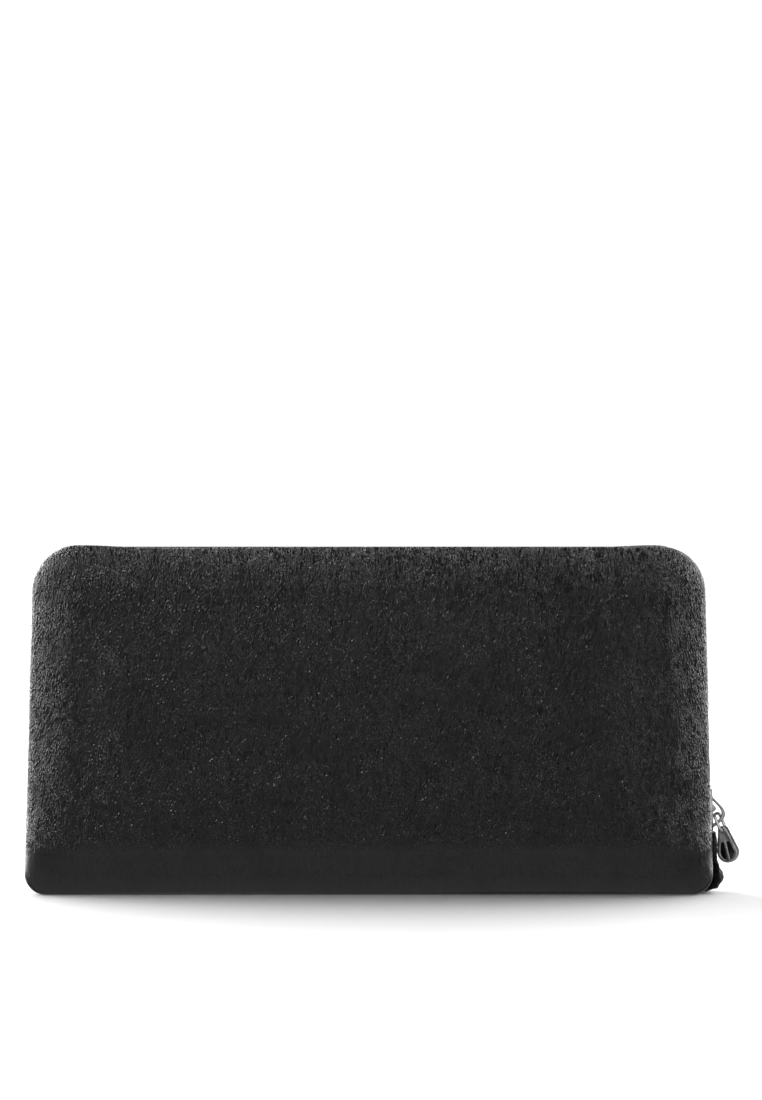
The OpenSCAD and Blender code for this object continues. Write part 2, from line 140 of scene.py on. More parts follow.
def around(inset, right_z, left_z, pitch=None, cells=None):
    """Points [x, z, angle of the outward normal] along the band on three sides, from the right end."""
    r = CORNER_TOP - inset
    zc = HEIGHT - CORNER_TOP
    xc = side_x(zc, CORNER_TOP)
    turn = math.pi / 2 - LEAN_ANGLE
    top_of_side = zc + r * math.sin(LEAN_ANGLE)
    rise = (top_of_side - right_z) / math.cos(LEAN_ANGLE)
    fall = (top_of_side - left_z) / math.cos(LEAN_ANGLE)
    total = rise + 2 * r * turn + 2 * xc + fall
    s = np.arange(0, total, pitch) if pitch else np.linspace(0, total, cells + 1)
    out = []
    for d in s:
        mirror = d > total / 2
        own = total - d if mirror else d
        up = fall if mirror else rise
        start = left_z if mirror else right_z
        if own < up:
            z = start + own * math.cos(LEAN_ANGLE)
            x, a = side_x(z, inset), LEAN_ANGLE
        elif own < up + r * turn:
            a = LEAN_ANGLE + (own - up) / r
            x, z = xc + r * math.cos(a), zc + r * math.sin(a)
        else:
            x, z, a = xc - (own - up - r * turn), zc + r, math.pi / 2
        out.append((-x, z, math.pi - a) if mirror else (x, z, a))
    return s, np.array(out)


# ------------------------------------------------------------------ noise

def lattice(ix, iy, iz, seed):
    """A random number from -1 to 1 at each whole point."""
    h = (ix * 374761393 + iy * 668265263 + iz * 1442695041 + seed * 1274126177) & 0xFFFFFFFF
    h = ((h ^ (h >> 13)) * 1103515245) & 0xFFFFFFFF
    h = ((h ^ (h >> 15)) * 2246822519) & 0xFFFFFFFF
    return (h ^ (h >> 16)) / 2147483648.0 - 1.0


def noise(points, scale, seed):
    """Smooth noise from -1 to 1 at points, with cells of that size, one size or three."""
    p = np.asarray(points, float) / np.asarray(scale, float)
    whole = np.floor(p).astype(np.int64)
    f = p - whole
    w = f * f * (3 - 2 * f)
    total = np.zeros(len(p))
    for dx in (0, 1):
        for dy in (0, 1):
            for dz in (0, 1):
                share = (
                    (w[:, 0] if dx else 1 - w[:, 0])
                    * (w[:, 1] if dy else 1 - w[:, 1])
                    * (w[:, 2] if dz else 1 - w[:, 2])
                )
                total += share * lattice(whole[:, 0] + dx, whole[:, 1] + dy, whole[:, 2] + dz, seed)
    return total


def ease(t):
    t = np.clip(t, 0, 1)
    return t * t * (3 - 2 * t)


# ------------------------------------------------------------------ meshes

def grid_faces(rows, columns, closed=False, start=0):
    """Quads over rows of points; closed joins the last column to the first."""
    faces = []
    for i in range(rows - 1):
        for j in range(columns if closed else columns - 1):
            k = (j + 1) % columns
            a = start + i * columns
            faces.append((a + j, a + k, a + columns + k, a + columns + j))
    return faces


def new_object(name, data):
    made = bpy.data.objects.new(name, data)
    bpy.context.scene.collection.objects.link(made)
    return made


def make_piece(name, points, faces, material, flat=None, smooth_deg=45.0):
    """A mesh piece from points in millimetres. flat holds each point's place in the cloth, for weaves."""
    mesh = bpy.data.meshes.new(name)
    mesh.from_pydata((np.asarray(points, float) * MM).tolist(), [], [list(map(int, f)) for f in faces])
    mesh.validate()
    mesh.materials.append(material)
    piece = new_object(name, mesh)
    tidy_normals(piece)
    if flat is not None:
        attribute = mesh.attributes.new("flat", "FLOAT_VECTOR", "POINT")
        attribute.data.foreach_set("vector", (np.asarray(flat, float) * MM).astype(np.float32).ravel())
    shade(piece, smooth_deg)
    return piece


def half_piece(which, name, points, faces, material, flat=None, smooth_deg=45.0):
    """A piece made for the front half, mirrored where it belongs to the back one."""
    if which == "back":
        points = mirror_y(points)
    return keep_rest(make_piece(name, points, faces, material, flat, smooth_deg))


def tidy_normals(piece):
    bm = bmesh.new()
    bm.from_mesh(piece.data)
    bmesh.ops.recalc_face_normals(bm, faces=bm.faces)
    bm.to_mesh(piece.data)
    bm.free()


def shade(piece, smooth_deg):
    """Smooth shading with sharp edges past an angle."""
    mesh = piece.data
    mesh.shade_smooth()
    mesh.set_sharp_from_angle(angle=math.radians(smooth_deg))


def places_of(mesh):
    co = np.zeros(len(mesh.vertices) * 3, np.float32)
    mesh.vertices.foreach_get("co", co)
    return co


def keep_rest(piece):
    """Stores each point's place at rest for the materials, so that a pattern stays put on cloth that bends."""
    mesh = piece.data
    mesh.attributes.new("rest", "FLOAT_VECTOR", "POINT").data.foreach_set("vector", places_of(mesh))
    return piece


def keep_flat(piece):
    """Stores each point's place in the cloth for a woven piece that lies mostly in one plane or along X."""
    mesh = piece.data
    co = places_of(mesh).reshape(-1, 3)
    flat = np.c_[co[:, 0], co[:, 2] + co[:, 1], np.zeros(len(co))].astype(np.float32)
    mesh.attributes.new("flat", "FLOAT_VECTOR", "POINT").data.foreach_set("vector", flat.ravel())
    return piece


def mirror_y(points):
    return np.asarray(points) * (1, -1, 1)


def thick_sheet(grid, normals, thickness):
    """Points and faces of a closed sheet around a grid of points (rows, columns, 3)."""
    rows, columns = grid.shape[:2]
    points = np.concatenate([
        (grid + normals * thickness / 2).reshape(-1, 3),
        (grid - normals * thickness / 2).reshape(-1, 3),
    ])
    other = rows * columns
    faces = grid_faces(rows, columns)
    faces += [tuple(other + i for i in reversed(f)) for f in grid_faces(rows, columns)]
    edge = (
        [(0, j) for j in range(columns)]
        + [(i, columns - 1) for i in range(1, rows)]
        + [(rows - 1, j) for j in range(columns - 2, -1, -1)]
        + [(i, 0) for i in range(rows - 2, 0, -1)]
    )
    ring = [i * columns + j for i, j in edge]
    for a, b in zip(ring, ring[1:] + ring[:1]):
        faces.append((b, a, other + a, other + b))
    return points, faces


def tube_faces(rings, columns):
    """Quads along rings of points, and a cap on each end."""
    last = (rings - 1) * columns
    caps = [tuple(range(columns))[::-1], tuple(range(last, last + columns))]
    return grid_faces(rings, columns, closed=True) + caps


def both_faces(across, up):
    """Each point's place in the cloth, for the two faces of a thick sheet."""
    flat = np.stack([across, up, np.zeros_like(across)], -1).reshape(-1, 3)
    return np.r_[flat, flat]


def belongs(piece, body, node):
    """The body that a piece rides on, and the CAD node it stands for, which is hidden."""
    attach(piece, body)
    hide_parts(node)


def sweep(profile, stations):
    """A closed profile of (out, across) carried along stations of (x, z, angle): points, faces."""
    stations = np.asarray(stations)
    profile = np.asarray(profile, float)
    out = np.c_[np.cos(stations[:, 2]), np.zeros(len(stations)), np.sin(stations[:, 2])]
    centre = np.c_[stations[:, 0], np.zeros(len(stations)), stations[:, 1]]
    points = (
        centre[:, None]
        + out[:, None] * profile[None, :, :1]
        + np.array([0, 1.0, 0])[None, None] * profile[None, :, 1:]
    ).reshape(-1, 3)
    return points, tube_faces(len(stations), len(profile))


def repeated(template, places):
    """Points and faces of a template (points, faces) at each 4x4 matrix."""
    base, faces = template
    base = np.c_[base, np.ones(len(base))]
    points = np.concatenate([(base @ np.asarray(m).T)[:, :3] for m in places])
    count = len(base)
    everywhere = [tuple(k * count + i for i in f) for k in range(len(places)) for f in faces]
    return points, everywhere


def frame_matrix(origin, x_axis, y_axis, z_axis):
    m = np.eye(4)
    m[:3, 0], m[:3, 1], m[:3, 2], m[:3, 3] = x_axis, y_axis, z_axis, origin
    return m


def softened(name, nodes, material, body, width, segments=3, smooth_deg=40.0):
    """A new piece with the shape of CAD nodes, their edges rounded off by a width in millimetres."""
    bm = bmesh.new()
    for node in nodes:
        bm.from_mesh(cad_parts[node].data)
    bmesh.ops.remove_doubles(bm, verts=bm.verts, dist=1e-6)
    bmesh.ops.dissolve_limit(bm, angle_limit=math.radians(0.5), verts=bm.verts, edges=bm.edges)
    sharp = [e for e in bm.edges if e.is_manifold and e.calc_face_angle(0) > math.radians(28)]
    bmesh.ops.bevel(
        bm, geom=sharp, offset=width * MM, segments=segments, profile=0.5, affect="EDGES", clamp_overlap=True
    )
    bmesh.ops.recalc_face_normals(bm, faces=bm.faces)
    mesh = bpy.data.meshes.new(name)
    bm.to_mesh(mesh)
    bm.free()
    mesh.materials.append(material)
    piece = new_object(name, mesh)
    shade(piece, smooth_deg)
    keep_rest(piece)
    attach(piece, body)
    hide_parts(*nodes)
    return piece


# ------------------------------------------------------------------ materials

class Surface:
    """A Principled material and short ways to add texture nodes to it."""

    def __init__(self, name, roughness=0.5, metallic=0.0, **fixed):
        self.material = bpy.data.materials.new(name)
        self.material.use_nodes = True
        self.nodes = self.material.node_tree.nodes
        self.links = self.material.node_tree.links
        self.shader = self.nodes["Principled BSDF"]
        self.shader.inputs["Roughness"].default_value = roughness
        self.shader.inputs["Metallic"].default_value = metallic
        for socket, value in fixed.items():
            self.shader.inputs[socket.replace("_", " ")].default_value = value

    def put(self, socket, value):
        if isinstance(value, bpy.types.NodeSocket):
            self.links.new(value, socket)
        elif isinstance(value, tuple) and len(value) == 3 and socket.type == "RGBA":
            socket.default_value = (*value, 1.0)
        else:
            socket.default_value = value

    def add(self, kind, out=0, settings=None, **inputs):
        node = self.nodes.new(kind)
        for key, value in (settings or {}).items():
            setattr(node, key, value)
        for key, value in inputs.items():
            self.put(node.inputs[key.replace("_", " ")], value)
        return node.outputs[out]

    def coords(self, attribute):
        return self.add("ShaderNodeAttribute", "Vector", {"attribute_name": attribute})

    def maths(self, operation, a, b=0.0, c=0.0):
        node = self.nodes.new("ShaderNodeMath")
        node.operation = operation
        for socket, value in zip(node.inputs, (a, b, c)):
            self.put(socket, value)
        return node.outputs[0]

    def scaled(self, vector, scale):
        return self.add("ShaderNodeMapping", Vector=vector, Scale=scale)

    def moved(self, vector, by, amount):
        """The vector shifted by a colour texture, from -amount/2 to amount/2."""
        centred = self.add("ShaderNodeVectorMath", 0, {"operation": "SUBTRACT"})
        node = centred.node
        self.put(node.inputs[0], by)
        node.inputs[1].default_value = (0.5, 0.5, 0.5)
        scale = self.nodes.new("ShaderNodeVectorMath")
        scale.operation = "SCALE"
        self.links.new(centred, scale.inputs[0])
        scale.inputs["Scale"].default_value = amount
        total = self.nodes.new("ShaderNodeVectorMath")
        self.put(total.inputs[0], vector)
        self.links.new(scale.outputs[0], total.inputs[1])
        return total.outputs[0]

    def noise(self, vector, scale, detail=2.0, roughness=0.5, out="Fac"):
        return self.add(
            "ShaderNodeTexNoise", out, Vector=vector, Scale=scale, Detail=detail, Roughness=roughness
        )

    def remap(self, value, low, high, to_low=0.0, to_high=1.0):
        ends = {"From_Min": low, "From_Max": high, "To_Min": to_low, "To_Max": to_high}
        return self.add("ShaderNodeMapRange", 0, {"interpolation_type": "SMOOTHSTEP"}, Value=value, **ends)

    def colour_between(self, dark, light, share):
        node = self.nodes.new("ShaderNodeMix")
        node.data_type = "RGBA"
        node.clamp_factor = False
        self.put(node.inputs[0], share)
        node.inputs[6].default_value = (*dark, 1)
        node.inputs[7].default_value = (*light, 1)
        self.links.new(node.outputs[2], self.shader.inputs["Base Color"])

    def bump(self, height, depth_mm):
        node = self.nodes.new("ShaderNodeBump")
        node.inputs["Strength"].default_value = 1.0
        node.inputs["Distance"].default_value = depth_mm * MM
        self.links.new(height, node.inputs["Height"])
        self.links.new(node.outputs[0], self.shader.inputs["Normal"])

    def rough(self, value):
        self.links.new(value, self.shader.inputs["Roughness"])


def leather(name, dark, light, scale=1.0, depth_mm=0.42, rough=(0.62, 0.36), crease=1.0, calm_and_painted_light_below=0.0):
    """Soft milled leather: a fine grain of short creases that run mostly up and down, stronger in patches.

    The grain is stretched smooth below a given height, in metres, and there the colour is painted paler: a painted
    reflection of the floor.
    """
    s = Surface(name, Specular_IOR_Level=0.5)
    place = s.coords("rest")
    swirl = s.noise(place, 230 * scale, 2, out="Color")
    place = s.moved(place, swirl, 0.0016 / scale)
    grain = s.noise(s.scaled(place, (1, 1, 0.36)), 1000 * scale, 2, 0.6)
    cells = s.add(
        "ShaderNodeTexVoronoi",
        "Distance",
        {"feature": "DISTANCE_TO_EDGE"},
        Vector=s.scaled(place, (1, 1, 0.5)),
        Scale=900 * scale,
    )
    pebble = s.remap(cells, 0.0, 0.25)
    folds = s.noise(s.scaled(place, (1, 1, 0.3)), 430 * scale, 3, 0.6)
    fold = s.remap(s.maths("ABSOLUTE", s.maths("SUBTRACT", folds, 0.5)), 0.0, 0.05)
    spread = s.remap(s.noise(place, 110, 2), 0.32, 0.6, 0.62, 1.0)
    height = s.maths("MULTIPLY_ADD", fold, 0.75 * crease, s.maths("MULTIPLY", grain, 0.6))
    height = s.maths("MULTIPLY_ADD", pebble, 0.3, height)
    height = s.maths("MULTIPLY", height, spread)
    # painted shade: the colour follows the relief, darker in the creases and along the grain's cell borders
    painted_shade_and_light = s.remap(height, 0.15, 1.3)
    relief_height = height
    if calm_and_painted_light_below:
        z = s.add("ShaderNodeSeparateXYZ", "Z", Vector=s.coords("rest"))
        grained = s.remap(z, calm_and_painted_light_below - 0.002, calm_and_painted_light_below + 0.003)
        relief_height = s.maths("MULTIPLY", height, s.maths("MULTIPLY_ADD", grained, 0.88, 0.12))
        # painted reflection: below that height the colour is painted paler, standing in for the floor's light on
        # the bottom band
        painted_shade_and_light = s.maths("ADD", painted_shade_and_light, s.maths("MULTIPLY", s.maths("SUBTRACT", 1.0, grained), PAINTED_FLOOR_REFLECTION))
    s.bump(relief_height, depth_mm)
    s.colour_between(dark, light, painted_shade_and_light)
    patchy = s.noise(place, 75, 3)
    polish = s.remap(height, 0.2, 1.4, rough[0] - 0.05, rough[1] - 0.05)
    s.rough(s.maths("MULTIPLY_ADD", patchy, 0.1, polish))
    return s.material


def weave(name, dark, light, threads_per_m, depth_mm=0.12, slant=1.0, rough=0.8, sheen=0.25):
    """Woven cloth in the piece's own flat coordinates: warp and weft, crossed as a twill."""
    s = Surface(name, rough, Sheen_Weight=sheen, Sheen_Roughness=0.5, Specular_IOR_Level=0.35)
    place = s.coords("flat")
    ripple = s.noise(place, 300, 2, out="Color")
    place = s.moved(place, ripple, 0.0006)
    bands, waves_per_m = {"bands_direction": "X"}, threads_per_m / 6.2832
    across = s.add("ShaderNodeTexWave", "Fac", bands, Vector=place, Scale=waves_per_m * 2)
    tilted = s.add("ShaderNodeMapping", Vector=place, Rotation=(0, 0, slant))
    ribs = s.add("ShaderNodeTexWave", "Fac", bands, Vector=tilted, Scale=waves_per_m)
    fuzz = s.noise(place, threads_per_m * 2.5, 2)
    height = s.maths("MULTIPLY", across, 0.35)
    height = s.maths("MULTIPLY_ADD", ribs, 0.5, height)
    height = s.maths("MULTIPLY_ADD", fuzz, 0.25, height)
    s.bump(height, depth_mm)
    worn = s.noise(place, 40, 3)
    # painted shade: the colour follows the weave's height, darker in its grooves; the worn patches vary it at
    # random
    share = s.maths("MULTIPLY_ADD", worn, 0.35, s.remap(height, 0.2, 1.0, -0.15, 0.75))
    s.colour_between(dark, light, share)
    return s.material


def metal(name, dark, light, rough):
    """Plated metal: fine rubbing marks, slightly duller in patches."""
    s = Surface(name, metallic=1.0)
    place = s.coords("rest")
    lines = s.noise(s.scaled(place, (1, 1, 0.12)), 5200, 3)
    cloudy = s.noise(place, 700, 3)
    pits = s.noise(place, 3800, 2)
    height = s.maths("MULTIPLY_ADD", lines, 0.5, s.maths("MULTIPLY", pits, 0.3))
    s.bump(height, 0.012)
    s.colour_between(dark, light, s.remap(cloudy, 0.3, 0.7))
    s.rough(s.maths("MULTIPLY_ADD", lines, 0.08, s.remap(cloudy, 0.3, 0.75, *rough)))
    return s.material


def enamel(name, dark, light):
    s = Surface(name, 0.25, Coat_Weight=0.5, Coat_Roughness=0.12)
    place = s.coords("rest")
    specks = s.noise(place, 2600, 3)
    s.bump(specks, 0.02)
    s.colour_between(dark, light, s.remap(specks, 0.35, 0.75))
    s.rough(s.remap(s.noise(place, 900, 2), 0.3, 0.7, 0.18, 0.34))
    return s.material


def thread(name, dark, light):
    s = Surface(name, 0.62, Sheen_Weight=0.3)
    place = s.coords("rest")
    twist = s.noise(place, 3000, 2)
    s.bump(twist, 0.08)
    s.colour_between(dark, light, twist)
    return s.material


def stuffing(name, dark, light, grain_per_m, depth_mm):
    """Foam or board, which the leather and the lining cover."""
    s = Surface(name, 0.9)
    place = s.add("ShaderNodeTexCoord", "Object")
    cells = s.add("ShaderNodeTexVoronoi", "Distance", Vector=place, Scale=grain_per_m)
    height = s.maths("MULTIPLY_ADD", s.noise(place, grain_per_m / 3, 3), 0.5, cells)
    s.bump(height, depth_mm)
    s.colour_between(dark, light, s.remap(height, 0.1, 0.9))
    return s.material


PAINTED_FLOOR_REFLECTION = 1.6  # painted reflection of the floor: how much paler the leather's smooth bottom band is painted, in steps from the dark to the light colour
OUTER = leather(
    "outer_leather", (0.002, 0.002, 0.002), (0.0075, 0.0075, 0.0076), 1.65, 0.42, (0.42, 0.24), calm_and_painted_light_below=0.0135
)
INNER = leather("inner_leather", (0.006, 0.006, 0.0063), (0.014, 0.014, 0.0143), 1.7, 0.12, (0.62, 0.46), 0.4)
LINING = weave("lining_twill", (0.008, 0.008, 0.009), (0.022, 0.022, 0.025), 2200, 0.09, sheen=0.12)
TAPE = weave("zip_tape_weave", (0.004, 0.004, 0.0045), (0.016, 0.016, 0.017), 1500, 0.16, 0.9, 0.85, 0.1)
NICKEL = metal("polished_nickel", (0.36, 0.36, 0.37), (0.6, 0.6, 0.61), (0.28, 0.42))
SLIDER = metal("brushed_nickel", (0.16, 0.16, 0.165), (0.3, 0.3, 0.305), (0.34, 0.46))
TEETH = metal("zip_teeth_metal", (0.3, 0.3, 0.31), (0.5, 0.5, 0.51), (0.26, 0.4))
INLAY = enamel("black_enamel", (0.006, 0.006, 0.006), (0.02, 0.02, 0.02))
THREAD = thread("black_thread", (0.01, 0.01, 0.011), (0.045, 0.045, 0.047))
FOAM = stuffing("foam_padding", (0.42, 0.41, 0.38), (0.7, 0.69, 0.65), 1400, 0.4)
BOARD = stuffing("stiffening_board", (0.27, 0.2, 0.13), (0.45, 0.36, 0.26), 900, 0.15)


# ------------------------------------------------------------------ covers

ACROSS, UP = 352, 156  # cells of the face
SINK, SINK_REACH = 1.2, 30.0  # how much the padding falls off towards the edges, and over what width
SHOULDER, SHOULDER_REACH = 1.35, 12.0  # how much more close to the edge
FOLD_Z, UNDER_SLOPE = 12.8, 0.085  # where the face breaks towards the spine, and how much it slopes back


def edge_distance(x, z):
    """How far a point of the face lies inside the outline."""
    side = (side_x(z) - np.abs(x)) / SLANT
    ways = np.stack([side, HEIGHT - z, z * 1.15])
    softness = 2.5
    return -softness * np.log(np.exp(-ways / softness).sum(0))


def sink_of(xz):
    """How far the cover's face lies behind its highest plane, at points of X and Z."""
    inside = edge_distance(xz[:, 0], xz[:, 1])
    under = UNDER_SLOPE * np.maximum(FOLD_Z - xz[:, 1], 0)
    return (
        SINK * (1 - ease((inside - 2) / SINK_REACH))
        + SHOULDER * (1 - ease(inside / SHOULDER_REACH)) * ease(xz[:, 1] / 40)
        + under
    )


def cover_points():
    """A cover's face, the rings round its turned edge and inner skin, and how many of those are outside."""
    face = patch(outline(EDGE_ROLL, EDGE_ROLL, SPINE_ROLL, CORNER_TOP - EDGE_ROLL, CORNER_SPINE, ACROSS, UP))
    rows = face.reshape(-1, 2)
    grid = np.c_[rows[:, 0], sink_of(rows) - FACE_Y, rows[:, 1]]
    rings = []

    def ring(roll, skin, side_extra=0.0, y_extra=0.0):
        side = skin + (EDGE_ROLL - skin) * (1 - math.cos(roll)) + side_extra
        under = skin + (SPINE_ROLL - skin) * (1 - math.cos(roll)) + side_extra
        depth = (FACE_Y - INNER_Y - skin) * math.sin(roll)
        top_r, spine_r = max(CORNER_TOP - side, 1), max(CORNER_SPINE - skin - side_extra, 1)
        loop = loop_of(outline(side, side, under, top_r, spine_r, ACROSS, UP))
        y = sink_of(loop) * math.sin(roll) - INNER_Y - depth + y_extra
        rings.append(np.c_[loop[:, 0], y, loop[:, 1]])

    steps = 13
    for i in range(steps - 1, -1, -1):
        ring(math.pi / 2 * i / steps, 0.0)
    outside = len(rings)
    for side_extra, y_extra in ((0.12, 0.16), (0.4, 0.26), (0.8, 0.26), (1.08, 0.14), (LEATHER, -0.05)):
        ring(0.0, 0.0, side_extra, y_extra)
    for i in range(1, 6):
        ring(math.pi / 2 * i / 5, LEATHER)
    for side_extra in (5, 11, 18, 26):
        ring(math.pi / 2, LEATHER, side_extra)
    return grid, rings, outside


def face_border():
    """Indices of the face's boundary points, in the order of an outline loop."""
    n = ACROSS + 1
    return (
        [j for j in range(ACROSS)]
        + [i * n + ACROSS for i in range(UP)]
        + [UP * n + j for j in range(ACROSS, 0, -1)]
        + [i * n for i in range(UP, 0, -1)]
    )


def relief(points, seed):
    """Height of the leather's surface over its smooth shape, in millimetres."""
    drift = np.stack([noise(points, 9.0, seed + k) for k in range(3)], 1) * 1.6
    bent = points + drift
    swell = 0.22 * noise(points, (46, 30, 34), seed + 10) + 0.06 * noise(points, (17, 17, 15), seed + 11)
    lines = noise(bent, (2.6, 2.6, 8.5), seed + 12)
    folds = np.exp(-((lines / 0.26) ** 2))
    lines = noise(bent, (4.2, 4.2, 11.0), seed + 13)
    long_folds = np.exp(-((lines / 0.2) ** 2))
    worn = ease(0.55 + 0.8 * noise(points, 22.0, seed + 14))
    calm = ease((points[:, 2] - 8) / 12)  # the leather is stretched smooth over the spine's edge
    grain = 0.05 * noise(bent, (1.5, 1.5, 3.2), seed + 15)
    return swell - (0.09 * folds * worn + 0.06 * long_folds * (1 - 0.5 * worn) - grain) * (0.25 + 0.75 * calm)


def cover_shell(which):
    grid, rings, outside = cover_points()
    points = np.concatenate([grid] + rings)
    n = len(rings[0])
    border = face_border()
    first = len(grid)
    faces = grid_faces(UP + 1, ACROSS + 1)
    for j in range(n):
        k = (j + 1) % n
        faces.append((border[k], border[j], first + j, first + k))
    faces += [tuple(reversed(f)) for f in grid_faces(len(rings), n, closed=True, start=first)]
    last = first + (len(rings) - 1) * n
    faces.append([last + j for j in range(n)])
    piece = make_piece(which + "_cover_shell", points, faces, OUTER)
    mesh = piece.data
    normals = np.zeros(len(mesh.vertices) * 3)
    mesh.vertex_normals.foreach_get("vector", normals)
    normals = normals.reshape(-1, 3)
    share = np.zeros(len(points))
    share[: len(grid)] = 1
    for k in range(outside):  # the relief fades out at the turned edge
        share[first + k * n : first + (k + 1) * n] = ease((outside - 1 - k) / 3)
    points = points + normals * (relief(points, 5 if which == "front" else 55) * share)[:, None]
    # the zip side isn't quite straight: it stands up a little at one corner and dips beside it
    top = ease((points[:, 2] - HEIGHT + 14) / 14)
    x = points[:, 0] * SIDES[which]
    points[:, 2] += top * (0.45 * np.exp(-(((x + 82) / 11) ** 2)) - 0.4 * np.exp(-(((x + 50) / 22) ** 2)))
    points[:, 1] *= SIDES[which]
    mesh.vertices.foreach_set("co", (points * MM).astype(np.float32).ravel())
    if which == "back":
        mesh.flip_normals()
    mesh.update()
    shade(piece, 60)
    keep_rest(piece)
    belongs(piece, which + "_cover", which + "_leather")


def foam(which):
    """The padding: a soft sheet under the leather, thinner at its edge."""
    gap = 0.12
    edge, under = EDGE_ROLL + 0.5, SPINE_ROLL + 0.6
    face = patch(outline(edge, edge, under, CORNER_TOP - EDGE_ROLL, CORNER_SPINE, 96, 44))
    rows = face.reshape(-1, 2)
    back = node_box("front_padding")[1][1] - 0.05
    front = sink_of(rows) - FACE_Y + LEATHER + gap
    inside = np.ones(face.shape[:2])
    inside[0] = inside[-1] = 0
    inside[:, 0] = inside[:, -1] = 0
    front = np.where(inside.ravel() > 0, front, front * 0.35 + back * 0.65)
    grid = np.c_[rows[:, 0], (front + back) / 2, rows[:, 1]].reshape(*face.shape[:2], 3)
    across = np.zeros_like(grid)
    across[..., 1] = (back - front).reshape(face.shape[:2])
    points, faces = thick_sheet(grid, across, 1.0)
    piece = half_piece(which, which + "_foam", points, faces, FOAM, None, 50)
    belongs(piece, which + "_cover", which + "_padding")


# ------------------------------------------------------------------ spine

SPINE_END = 9.0  # how far the spine's leather turns up at its ends


def spine_skin(which):
    """Half of the spine's leather, from the mid plane to just inside the cover, which it joins at the hinge."""
    across = np.r_[np.linspace(0, 6.4, 9)[:-1], np.linspace(6.4, 8.0, 7)[:-1], 8.0, 8.5, 9.2]
    rows = []
    for y in across:
        # past the hinge the skin follows the roll of the cover, a little inside it
        roll = math.asin(min(max((y - INNER_Y) / (FACE_Y - INNER_Y), 0), 1))
        tuck = 0.3 * ease((y - 7.2) / 0.8)
        lift = (SPINE_ROLL - LEATHER) * (1 - math.cos(roll)) + tuck
        inset = tuck + (EDGE_ROLL - LEATHER) * (1 - math.cos(roll))
        r = CORNER_SPINE - tuck
        xc = side_x(CORNER_SPINE + lift, inset + r)
        line = np.r_[
            [[-side_x(SPINE_END, inset), SPINE_END]],
            arc((-xc, r + lift), r, math.pi - LEAN_ANGLE, 1.5 * math.pi, 10),
            arc((xc, r + lift), r, -math.pi / 2, LEAN_ANGLE, 10),
            [[side_x(SPINE_END, inset), SPINE_END]],
        ]
        line = resample(line, 150)
        rows.append(np.c_[line[:, 0], np.full(len(line), -y), line[:, 1]])
    grid = np.stack(rows)
    thickness = 1.0
    points, faces = thick_sheet(grid + inward(grid) * thickness / 2, inward(grid), thickness)
    piece = half_piece(which, which + "_spine_skin", points, faces, OUTER)
    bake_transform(piece)
    if which == "front":
        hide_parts("spine_leather")


def inward(grid):
    """Unit vectors from the outline's bottom and ends to the inside of the wallet."""
    x, z = grid[..., 0], grid[..., 2]
    centre_x = np.clip(x, -side_x(CORNER_SPINE, CORNER_SPINE), side_x(CORNER_SPINE, CORNER_SPINE))
    centre_z = np.maximum(z, CORNER_SPINE)
    v = np.stack([centre_x - x, np.zeros_like(x), centre_z - z], -1)
    return v / np.linalg.norm(v, axis=-1, keepdims=True)


# ------------------------------------------------------------------ main zip

TAPE_BOTTOM = 9.4
CHAIN_START = node_box("back_zip_teeth")[0][2] + 0.6
CHAIN_END = 20.5
TOOTH_ROOT, TOOTH_REACH, TOOTH_HEIGHT, TOOTH_HALF = 3.2, 0.9, 2.4, 0.6


def zip_tape(which):
    """The woven tape, with the corded edge that the teeth are clamped on."""
    t = np.linspace(0, 1, 9)
    upper = [(0.3 + 0.22 * math.sin(math.pi * k), -INNER_Y - 0.2 + 4.1 * k) for k in t]
    cord_r = 0.72
    turn = np.linspace(math.radians(30), math.radians(150), 7)
    cord = [(cord_r * math.sin(a), -3.55 - cord_r * math.cos(a)) for a in turn]
    lower = [(-o, y) for o, y in cord[::-1]] + [(o - 0.6, y) for o, y in upper[::-1]]
    profile = [(o, y) for o, y in upper + cord + lower]
    s, stations = around(TAPE_INSET, TAPE_BOTTOM, TAPE_BOTTOM, cells=420)
    points, faces = sweep(profile, stations)
    ripple = noise(points, (7, 3, 7), 31) * 0.12 * ease((-3.9 - points[:, 1]) / 2)
    out = np.repeat(np.c_[np.cos(stations[:, 2]), np.zeros(len(s)), np.sin(stations[:, 2])], len(profile), 0)
    points = points + out * ripple[:, None]
    width = np.array([y for _, y in profile])
    flat = np.c_[np.repeat(s, len(profile)), np.tile(width, len(s)), np.zeros(len(points))]
    piece = half_piece(which, which + "_tape", points, faces, TAPE, flat, 60)
    belongs(piece, which + "_cover", which + "_zip_tape")


def tooth_template(root, reach, height, half):
    """A cast tooth: a clamp over the cord, a waist, and a rounded head with a raised nib."""
    h = height / 2
    profile = [
        (-h, -root + 0.25), (-h, -root + 1.2), (-0.72 * h, -root + 1.75), (-0.7 * h, reach - 1.5),
        (-0.86 * h, reach - 1.0), (-0.8 * h, reach - 0.2), (-0.45 * h, reach),
        (0.45 * h, reach), (0.8 * h, reach - 0.2), (0.86 * h, reach - 1.0),
        (0.7 * h, reach - 1.5), (0.72 * h, -root + 1.75), (h, -root + 1.2), (h, -root + 0.25),
        (0.75 * h, -root), (-0.75 * h, -root),
    ]
    points = []
    layers = ((-half, 0.86), (-half * 0.72, 1.0), (half * 0.72, 1.0), (half, 0.86))
    centre = (reach - root) / 2
    for z, size in layers:
        points += [(x * size, centre + (y - centre) * (1 - (1 - size) * 0.45), z) for x, y in profile]
    return np.array(points), tube_faces(len(layers), len(profile))


